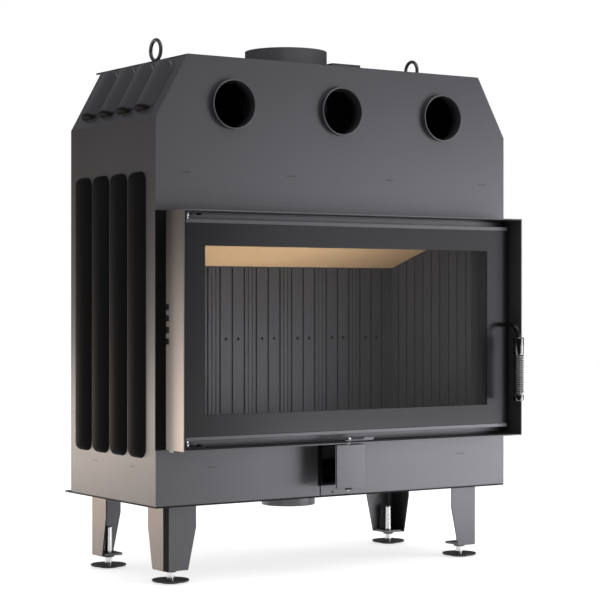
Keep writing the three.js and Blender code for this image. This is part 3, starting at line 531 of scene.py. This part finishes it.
side_paint = finish("ribbed_side_paint", ribbed_side)
shoulder_paint = finish("ribbed_shoulder_paint", ribbed_shoulder)
for side, name in ((-1, "left"), (1, "right")):
    low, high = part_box(f"side_panel_{name}")
    plate = bmesh.new()
    bmesh.ops.create_cube(plate, size=1)
    bmesh.ops.scale(plate, verts=plate.verts, vec=(sheet, high.y - low.y, high.z - low.z))
    moved(plate, (side * (fold_x - sheet / 2), (low.y + high.y) / 2, (low.z + high.z) / 2))
    middle = Vector((side * fold_x, 0, (rib_foot + rib_head) / 2))
    up, out = Vector((0, 0, 1)), Vector((side, 0, 0))
    pressed(f"side_panel_{name}", plate, rib_head - rib_foot, side_ramp, up, out, middle,
            side_paint)

    low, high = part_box(f"shoulder_{name}")
    plate = bmesh.new()
    bmesh.ops.create_cube(plate, size=1)
    level_cut = sheet * slope / drop
    size = (level_cut, high.y - low.y, high.z - low.z)
    bmesh.ops.scale(plate, verts=plate.verts, vec=size)
    for point in plate.verts:
        point.co.x -= side * point.co.z * run / drop
    level = (low.z + high.z) / 2
    centre = side * (fold_x - run * (level - fold_z) / drop - level_cut / 2)
    moved(plate, (centre, (low.y + high.y) / 2, level))
    up, out = Vector((-side * run, 0, drop)) / slope, Vector((side * drop, 0, run)) / slope
    middle = Vector((side * fold_x, 0, fold_z)) + up * shoulder_rib_middle
    pressed(f"shoulder_{name}", plate, shoulder_rib_length, shoulder_ramp, up, out, middle,
            shoulder_paint)

# ---- Outlets, flue collar and air intake ----------------------------------------------
# Rolled rings of sheet, welded into round holes. A duct or a pipe slides over each. The
# inner ends of the outlets are painted darker, as painted shade.

outlet_wall = 0.0035


def turned(outline, edge=0.0, sides=96, closed=False):
    """Spins a half section of radius and height about Z, with its corners rounded."""
    mesh = bmesh.new()
    points = [mesh.verts.new((radius, 0, height)) for radius, height in outline]
    pairs = list(zip(points, points[1:])) + ([(points[-1], points[0])] if closed else [])
    for pair in pairs:
        mesh.edges.new(pair)
    if edge:
        corners = points if closed else points[1:-1]
        bmesh.ops.bevel(
            mesh, geom=corners, offset=edge, segments=3, profile=0.5,
            affect="VERTICES", material=-1,
        )
    bmesh.ops.spin(
        mesh, geom=mesh.verts[:] + mesh.edges[:], cent=(0, 0, 0), axis=(0, 0, 1),
        angle=math.tau, steps=sides, use_merge=True,
    )
    bmesh.ops.remove_doubles(mesh, verts=mesh.verts, dist=1e-6)
    return mesh


def rolled_ring(radius, wall, low, high, edge=0.0008, sides=96):
    """A short pipe with softened edges."""
    section = [(radius - wall, low), (radius, low), (radius, high), (radius - wall, high)]
    return turned(section, edge, sides, closed=True)


def upright_axis(name):
    """The point below the middle of a node, at the level of the floor."""
    low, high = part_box(name)
    return Vector(((low.x + high.x) / 2, (low.y + high.y) / 2, 0))


def outlet_paint(place):
    """The casing paint, with painted shade: darker towards the inner end of the ring."""
    depth = place.axis("Y").eased(-0.184, -0.154) * 0.9
    return depth.coated(painted(place), shade_black(place, 0.010, 0.014, 0.1))


# Painted light: a lighter copy of the casing paint, for the flue collar and the intake spigot.
def pipe_paint(place):
    return painted(place, colour=0.12)


outlet_finish = finish("outlet_paint", outlet_paint)
for name in ("outlet_collar_left", "outlet_collar_centre", "outlet_collar_right"):
    low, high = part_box(name)
    ring = rolled_ring((high.x - low.x) / 2, outlet_wall, low.y, high.y)
    turn = Matrix.Rotation(math.radians(-90), 4, "X")
    bmesh.ops.transform(ring, verts=ring.verts, matrix=turn)
    moved(ring, ((low.x + high.x) / 2, 0, (low.z + high.z) / 2))
    piece(f"{name}_ring", ring, "casing", outlet_finish, "casing_paint", name)

pipe_finish = finish("pipe_paint", pipe_paint)
for name in ("flue_collar", "intake_spigot"):
    low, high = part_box(name)
    ring = rolled_ring((high.x - low.x) / 2, sheet, low.z, high.z)
    moved(ring, upright_axis(name))
    piece(f"{name}_ring", ring, "casing", pipe_finish, "casing_paint", name)

# ---- Lifting eyes ---------------------------------------------------------------------
# Forged eye bolts, screwed into the top plate near its ends and painted with the casing.

eye_radius, eye_rod = 0.0255, 0.0045
shank_radius, collar_radius, collar_seat = 0.005, 0.013, 1.2553

for name in ("lifting_eye_left", "lifting_eye_right"):
    low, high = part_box(name)
    bolt = turned([
        (0, low.z), (shank_radius, low.z), (shank_radius, collar_seat),
        (collar_radius, collar_seat), (collar_radius, collar_seat + 0.005),
        (collar_radius - 0.004, collar_seat + 0.0085), (0, collar_seat + 0.0085),
    ], 0.0008, 48)
    eye = bmesh.new()
    bmesh.ops.create_circle(eye, segments=24, radius=eye_rod)
    bmesh.ops.rotate(eye, verts=eye.verts, matrix=Matrix.Rotation(math.pi / 2, 3, "X"))
    moved(eye, (eye_radius, 0, 0))
    bmesh.ops.spin(
        eye, geom=eye.verts[:] + eye.edges[:], cent=(0, 0, 0), axis=(0, 0, 1),
        angle=math.tau, steps=72, use_merge=True,
    )
    bmesh.ops.rotate(eye, verts=eye.verts, matrix=Matrix.Rotation(math.pi / 2, 3, "Y"))
    moved(eye, (0, 0, high.z - eye_radius - eye_rod))
    joined(bolt, eye)
    moved(bolt, upright_axis(name))
    piece(f"{name}_bolt", bolt, "casing", paint, "casing_paint", name)

# ---- Fire chamber ---------------------------------------------------------------------
# A welded steel box behind the mouth, lined with slatted refractory boards. A tan
# vermiculite board lies on the linings as the baffle below the flue.

side_face, back_face, nose_front, hearth_top = 0.402, 0.157, -0.189, 0.3193


def mill_steel(place):
    """Bare hot-rolled steel with a dull bluish scale."""
    scale = place.noise(9.0, 5.0, 0.6)
    return place.surface({
        "Base Color": scale.mixed((0.055, 0.056, 0.062, 1), (0.085, 0.083, 0.082, 1)),
        "Metallic": 0.8,
        "Roughness": scale * 0.2 + 0.42,
        "Normal": place.noise(300.0, 3.0).relief(0.2, 0.0002),
    })


def dark_board(place):
    """Pressed refractory board: dark grey, matt and sandy. Its grooves are near black, as
    painted shade; the front ends of the boards and the faces below the hearth top are near black
    too."""
    sand = place.noise(420.0, 3.0, 0.6)
    cloud = place.noise(4.0, 3.0)
    y = place.axis("Y")
    groove = (abs(place.axis("X")) - side_face).over(y - back_face).eased(0.0006, 0.0012)
    nose = 1 - (y - nose_front).eased(0.0001, 0.0005)
    hearth_edge = 1 - (place.axis("Z") - hearth_top).eased(-0.0010, -0.0004)
    board = (sand * 0.5 + cloud * 0.5).mixed(
        (0.055, 0.055, 0.059, 1), (0.078, 0.078, 0.084, 1))
    return place.surface({
        "Base Color": groove.over(nose).over(hearth_edge).mixed(board, grey(0.018)),
        "Roughness": 0.72 + sand * 0.15,
        "Normal": sand.relief(0.35, 0.0003),
    })


def tan_board(place):
    """Vermiculite board: pressed golden flakes with paler and browner specks."""
    flakes = place.node("ShaderNodeTexVoronoi", {}, {"Vector": place, "Scale": 330.0}, 1)
    speck = flakes.axis("X")
    cloud = place.noise(7.0, 3.0)
    return place.surface({
        "Base Color": (speck * 0.6 + cloud * 0.4).mixed(
            (0.61, 0.38, 0.18, 1), (0.82, 0.55, 0.30, 1)),
        "Roughness": 0.78 + speck * 0.12,
        "Normal": speck.relief(0.3, 0.0004),
    })


chamber_light = panel(
    "chamber_light", (-0.12, -0.10, 0.37), (-0.14, 0.03, 0.9), 0.5, 0.12, 2.2,
    (0.97, 0.97, 1.0))
chamber_light.visible_glossy = False
bare = finish("bare_steel", mill_steel)
dress(bare, "firebox_floor", "firebox_ceiling", "firebox_side_left", "firebox_side_right",
      "firebox_back")
dress(finish("lining_board", dark_board), "lining_back", "lining_left", "lining_right",
      "hearth_floor")
dress(finish("baffle_board", tan_board), "baffle")
dress(paint, "firebox_flange")

# ---- Door surround --------------------------------------------------------------------
# Four strips of 3 mm sheet welded into a box round the door, open to the front. Four
# slots in the left wall let screwed-on facings hook in.

surround_left = -0.495


def surround_paint(place):
    """The casing paint, with a painted reflection on the outside of the left wall: a satin tone
    from dark at the top to light near the floor.
    """
    outside = 1 - (place.axis("X") - surround_left).eased(0.0002, 0.0006)
    lower = 1 - place.axis("Z").eased(0.30, 0.92)
    # Painted reflection of the floor, lighter towards the bottom.
    painted_reflection = place.surface({
        "Base Color": lower.mixed((0.10, 0.092, 0.084, 1), (0.74, 0.64, 0.57, 1)),
        "Metallic": 0.2,
        "Roughness": place.noise(60.0) * 0.08 + 0.4,
    })
    return outside.coated(painted(place), painted_reflection)


eased(finish("surround_paint", surround_paint), 0.0006, "door_surround")

# ---- Door -----------------------------------------------------------------------------
# A steel frame between an upper and a lower rail, with a pane of clear heat-proof glass
# in front of it. The pane has a printed black border, and a rope seals the frame.

window_x, window_z = 0.0075, 0.6035
window_half_width, window_half_height = 0.4225, 0.1985


def printed_glass(place):
    """Clear in the window and black on the border, with one polish over both."""
    beside = abs(place.axis("X") - window_x) - window_half_width
    above = abs(place.axis("Z") - window_z) - window_half_height
    border = beside.over(above).eased(-0.0004, 0.0004)
    return place.surface({
        "Base Color": border.mixed(grey(0.012), (0.006, 0.006, 0.007, 1)),
        "Roughness": place.noise(30.0) * 0.05 + 0.2,
        "Specular IOR Level": 0.25,
        "Alpha": border * 0.86 + 0.14,
    })


def rope_braid(place):
    """Braided glass rope: fine crossed strands in grey."""
    x = place.axis("X")
    z = place.axis("Z")
    strands_per_metre = 1400
    rising = place.maths("SINE", (x + z) * strands_per_metre)
    falling = place.maths("SINE", (x - z) * strands_per_metre)
    strands = rising * falling
    return place.surface({
        "Base Color": (strands * 0.5 + 0.5).mixed(grey(0.025), grey(0.06)),
        "Roughness": 0.9 + strands * 0.05,
        "Normal": strands.relief(0.6, 0.0006),
    })


dress(paint, "door_frame")
eased(paint, 0.0009, "door_trim_top", "door_trim_bottom")
dress(finish("printed_glass", printed_glass), "door_glass")
dress(finish("seal_rope", rope_braid), "door_seal")

# ---- Hinges and latch -----------------------------------------------------------------
# Turned pins in flat brackets above and below the door carry it on the left. A finger on
# the handle's shaft goes behind a keeper on the right.

pin_radius, pin_waist = 0.005, 0.0035
bolt_radius, bolt_depth = 0.0065, 0.0045


def chromed(place, low, high, rough, spread):
    """Chrome between two levels of grey, with faint turning marks."""
    lines = place.noise(60.0, stretch=(1, 1, 40))
    return place.surface({
        "Base Color": lines.mixed(grey(low), grey(high)),
        "Metallic": 1.0,
        "Roughness": rough + lines * spread,
    })


def polished(place):
    return chromed(place, 0.50, 0.58, 0.05, 0.06)


def blackened(place):
    """Oil-blackened steel: nearly black, with a dull sheen."""
    cloud = place.noise(40.0, 3.0)
    return place.surface({
        "Base Color": cloud.mixed(grey(0.012), grey(0.028)),
        "Metallic": 0.6,
        "Roughness": cloud * 0.15 + 0.3,
    })


def zinc(place):
    """Zinc plate: satin, with a slight yellow cast and fine drawn lines."""
    lines = place.noise(180.0, 3.0, 0.6, (1, 1, 6))
    return place.surface({
        "Base Color": place.noise(25.0).mixed((0.50, 0.49, 0.47, 1), (0.62, 0.60, 0.58, 1)),
        "Metallic": 0.95,
        "Roughness": 0.24 + lines * 0.18,
        "Normal": lines.relief(0.15, 0.0001),
    })


chrome = finish("bright_chrome", polished)
black_steel = finish("blackened_steel", blackened)
eased(black_steel, 0.0006, "hinge_bracket_top", "hinge_bracket_bottom", "latch_keeper")
dress(black_steel, "hinge_bush_top", "hinge_bush_bottom")
dress(finish("plated_steel", zinc), "latch_cam")

for name, inward in (("top", -1), ("bottom", 1)):
    low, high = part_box(f"hinge_pin_{name}")
    seat, tip = (low.z, high.z) if inward > 0 else (high.z, low.z)
    pin = turned([
        (0, seat), (pin_radius, seat), (pin_radius, seat + inward * 0.0105),
        (pin_waist, seat + inward * 0.0120), (pin_waist, seat + inward * 0.0185),
        (pin_radius, seat + inward * 0.0200), (pin_radius, tip - inward * 0.001),
        (pin_radius - 0.001, tip), (0, tip),
    ], 0.0007, 48)
    moved(pin, upright_axis(f"hinge_pin_{name}"))
    piece(f"hinge_pin_{name}_turned", pin, "casing", chrome, "bright_chrome",
          f"hinge_pin_{name}")

for name, bracket_face, side in (("top", 0.8777, -1), ("bottom", 0.3323, 1)):
    head = bmesh.new()
    bmesh.ops.create_cone(
        head, cap_ends=True, segments=6, radius1=bolt_radius, radius2=bolt_radius,
        depth=bolt_depth)
    bmesh.ops.bevel(
        head, geom=head.edges[:], offset=0.0005, segments=2, profile=0.5, affect="EDGES",
        material=-1,
    )
    moved(head, (-0.4245, -0.2105, bracket_face + side * bolt_depth / 2))
    piece(f"hinge_bracket_{name}_bolt", head, "casing", black_steel, "plated_steel")

# ---- Handle ---------------------------------------------------------------------------
# A black bent arm that ends in a turned rod. A chrome spring is wound round the rod
# between two ferrules, so that the grip stays cool.

shaft = Vector((0.485, -0.1935, 0.611))
shaft_radius, arm_radius, arm_bend = 0.008, 0.006, 0.032
neck_front, neck_length = -0.2225, 0.0012
grip_y, grip_top, grip_foot, grip_radius = -0.281, 0.579, 0.416, 0.014
coil_top, coil_foot, coil_core = 0.534, 0.431, 0.0087
wire_radius, wire_gap, turns, steps_in_turn = 0.002, 0.0003, 16, 30


def black_arm(place):
    return painted(place, colour=0.014, rough=0.24)


# Painted shade: chrome with a dark base colour, for the dark surroundings that the grip and its
# spring reflect.
def dimmed_chrome(place):
    return chromed(place, 0.13, 0.18, 0.04, 0.04)


def drawn(mesh, edges, step):
    """Draws the open end of a tube straight on, and gives its new end."""
    new = bmesh.ops.extrude_edge_only(mesh, edges=edges)["geom"]
    points = [part for part in new if isinstance(part, bmesh.types.BMVert)]
    bmesh.ops.translate(mesh, verts=points, vec=step)
    return [part for part in new if isinstance(part, bmesh.types.BMEdge)
            and all(point in points for point in part.verts)]


def points_of(edges):
    return list({point for edge in edges for point in edge.verts})


def round_bar(radius, segments, place):
    """The start of a bar that runs along Y."""
    mesh = bmesh.new()
    bmesh.ops.create_circle(mesh, cap_ends=True, segments=segments, radius=radius)
    bmesh.ops.rotate(mesh, verts=mesh.verts, matrix=Matrix.Rotation(math.pi / 2, 3, "X"))
    moved(mesh, place)
    return mesh


def closed_end(mesh, parts):
    """Closes the open end of a bar with one face."""
    edges = [part for part in parts if isinstance(part, bmesh.types.BMEdge)]
    bmesh.ops.contextual_create(mesh, geom=edges)


arm = round_bar(shaft_radius, 32, shaft)
bend_y = grip_y + arm_bend
end = drawn(arm, arm.edges[:], (0, neck_front - shaft.y, 0))
end = drawn(arm, end, (0, -neck_length, 0))
slim = arm_radius / shaft_radius
bmesh.ops.scale(
    arm, vec=(slim, 1, slim), space=Matrix.Translation((-shaft.x, 0, -shaft.z)),
    verts=points_of(end),
)
end = drawn(arm, end, (0, bend_y - neck_front + neck_length, 0))
swept = bmesh.ops.spin(
    arm, geom=end + points_of(end), cent=(shaft.x, bend_y, shaft.z - arm_bend),
    axis=(1, 0, 0), angle=math.pi / 2, steps=20,
)["geom_last"]
end = [part for part in swept if isinstance(part, bmesh.types.BMEdge)]
closed_end(arm, drawn(arm, end, (0, 0, -0.002)))
piece("handle_arm_bent", arm, "handle", finish("arm_paint", black_arm), "casing_paint",
      "handle_arm")

grip_axis = (shaft.x, grip_y, 0)
bevel, socket = 0.0015, arm_radius + 0.0004
shaded_chrome = finish("shaded_chrome", dimmed_chrome)
core = turned([
    (0, grip_foot), (grip_radius - bevel, grip_foot), (grip_radius, grip_foot + bevel),
    (grip_radius, coil_foot), (coil_core, coil_foot), (coil_core, coil_top),
    (grip_radius, coil_top), (grip_radius, grip_top - bevel),
    (grip_radius - bevel, grip_top), (socket, grip_top),
    (socket, grip_top - 0.006), (0, grip_top - 0.006),
], 0.0004, 64)
moved(core, grip_axis)
piece("grip_core_turned", core, "handle", shaded_chrome, "bright_chrome", "grip_core")

start = wire_radius + wire_gap
lead = (coil_top - coil_foot - 2 * start) / turns
wire = round_bar(wire_radius, 10, (grip_radius - wire_radius, 0, coil_foot + start))
wound = bmesh.ops.spin(
    wire, geom=wire.verts[:] + wire.edges[:], cent=(0, 0, 0), axis=(0, 0, 1),
    dvec=(0, 0, lead / steps_in_turn), angle=math.tau * turns, steps=steps_in_turn * turns,
)["geom_last"]
closed_end(wire, wound)
moved(wire, grip_axis)
piece("grip_spring_wound", wire, "handle", shaded_chrome, "bright_chrome", "grip_spring")

# ---- Air control ----------------------------------------------------------------------
# A bent sheet cover under the door, with a spindle through it. The flat lever on the
# spindle turns a flap inside the cover and sets the combustion air.

inlet_half_width, inlet_half_height, inlet_front = 0.0445, 0.0515, -0.2541
screw_x, screw_z, screw_radius = -0.0253, 0.2009, 0.0025
spindle_radius, spindle_head, lever_level = 0.004, 0.006, 0.3348


def control_paint(place):
    """The casing paint outside, and a dull black coat as painted shade inside, where the air
    goes in, and in the screw hole of the tongue below."""
    x = place.axis("X")
    z = place.axis("Z")
    inside = (abs(x - cover_x) < inlet_half_width) * (abs(z - cover_z) < inlet_half_height)
    inside = inside * (place.axis("Y") > inlet_front)
    dx = x - screw_x
    dz = z - screw_z
    # Painted shade: a black disc for the screw hole.
    screw_hole = dx * dx + dz * dz < screw_radius ** 2
    painted_shade = shade_black(place, 0.004, 0.006, 0.05, rough=0.6)
    return inside.over(screw_hole).coated(painted(place), painted_shade)


eased(finish("control_paint", control_paint), 0.0006, "air_box")
eased(paint, 0.0005, "air_lever")
dress(bare, "air_damper")

low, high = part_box("air_spindle")
spindle = turned([
    (0, low.z), (spindle_radius - 0.0012, low.z), (spindle_radius, low.z + 0.0012),
    (spindle_radius, lever_level), (spindle_head, lever_level),
    (spindle_head, high.z - 0.0015), (spindle_head - 0.0015, high.z), (0, high.z),
], 0.0004, 48)
moved(spindle, upright_axis("air_spindle"))
piece("air_spindle_turned", spindle, "air_control", chrome, "bright_chrome", "air_spindle")

washer = rolled_ring(0.009, 0.0049, 0.2125, 0.2160, 0.0005, 48)
moved(washer, upright_axis("air_spindle"))
piece("air_spindle_washer", washer, "air_control", black_steel, "plated_steel")

# ---- Legs and levelling feet ----------------------------------------------------------
# Legs folded from 4 mm sheet, tapered towards the floor, each with a sole and a welded nut.
# A plated screw with a round pad levels each corner.

corners = ("front_left", "front_right", "rear_left", "rear_right")
leg_cheek, leg_fold = 0.4706, 0.4609
sole_low, sole_high, sole_shift = 0.030, 0.045, -0.004
pad_top, pad_radius = 0.0125, 0.0447
thread_count, thread_pitch, thread_crest, thread_root = 44, 0.002, 0.0085, 0.0082


def leg_paint(place):
    """The casing paint, with a lighter satin on the outer cheeks of the legs as a painted
    reflection of the floor, and painted shade in the fold beside them."""
    across = abs(place.axis("X"))
    cheek = (across - leg_cheek).eased(-0.0002, 0.0002)
    fold = (across - leg_fold).eased(-0.0003, 0.0003) * (1 - cheek)
    # Painted reflection of the floor on the outer cheeks.
    painted_reflection = place.surface({
        "Base Color": place.noise(12.0).mixed((0.21, 0.185, 0.17, 1), (0.24, 0.21, 0.19, 1)),
        "Metallic": 0.4,
        "Roughness": place.noise(700.0) * 0.05 + 0.36,
    })
    # Painted shade in the fold beside each cheek.
    dark = place.surface({
        "Base Color": place.noise(12.0).mixed(grey(0.012), grey(0.016)),
        "Roughness": place.noise(700.0) * 0.05 + 0.4,
        "Specular IOR Level": 0.2,
    })
    return cheek.coated(fold.coated(painted(place), dark), painted_reflection)


def foot_steel(place):
    """A bright plated screw in a dark round pad."""
    pad = 1 - (place.axis("Z") - pad_top).eased(-0.0003, 0.0003)
    lines = place.noise(120.0, stretch=(1, 1, 0.2))
    cloud = place.noise(40.0, 3.0)
    screw = place.surface({
        "Base Color": lines.mixed(grey(0.62), grey(0.74)),
        "Metallic": 1.0,
        "Roughness": 0.14 + lines * 0.12,
    })
    dark = place.surface({
        "Base Color": cloud.mixed(grey(0.035), grey(0.055)),
        "Metallic": 0.6,
        "Roughness": cloud * 0.12 + 0.25,
    })
    return pad.coated(screw, dark)


eased(finish("leg_paint", leg_paint), 0.001, *(f"leg_{corner}" for corner in corners),
      settle=(sole_low, sole_high, sole_shift))

foot_finish = finish("levelling_foot_steel", foot_steel)
for name in (f"foot_{corner}" for corner in corners):
    low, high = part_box(name)
    outline = [
        (0, 0), (0.023, 0), (0.0245, 0.003), (pad_radius - 0.0007, 0.0045),
        (pad_radius, 0.0055), (pad_radius, 0.0080), (pad_radius - 0.0007, 0.0088),
        (0.013, pad_top), (thread_root, pad_top),
    ]
    for i in range(thread_count):
        crest = pad_top + 0.0015 + i * thread_pitch
        outline += [(thread_crest, crest), (thread_root, crest + thread_pitch / 2)]
    outline += [(thread_root - 0.0012, high.z), (0, high.z)]
    foot = turned(outline, sides=48)
    moved(foot, upright_axis(name))
    piece(f"{name}_threaded", foot, body_of[name], foot_finish, "plated_steel", name)
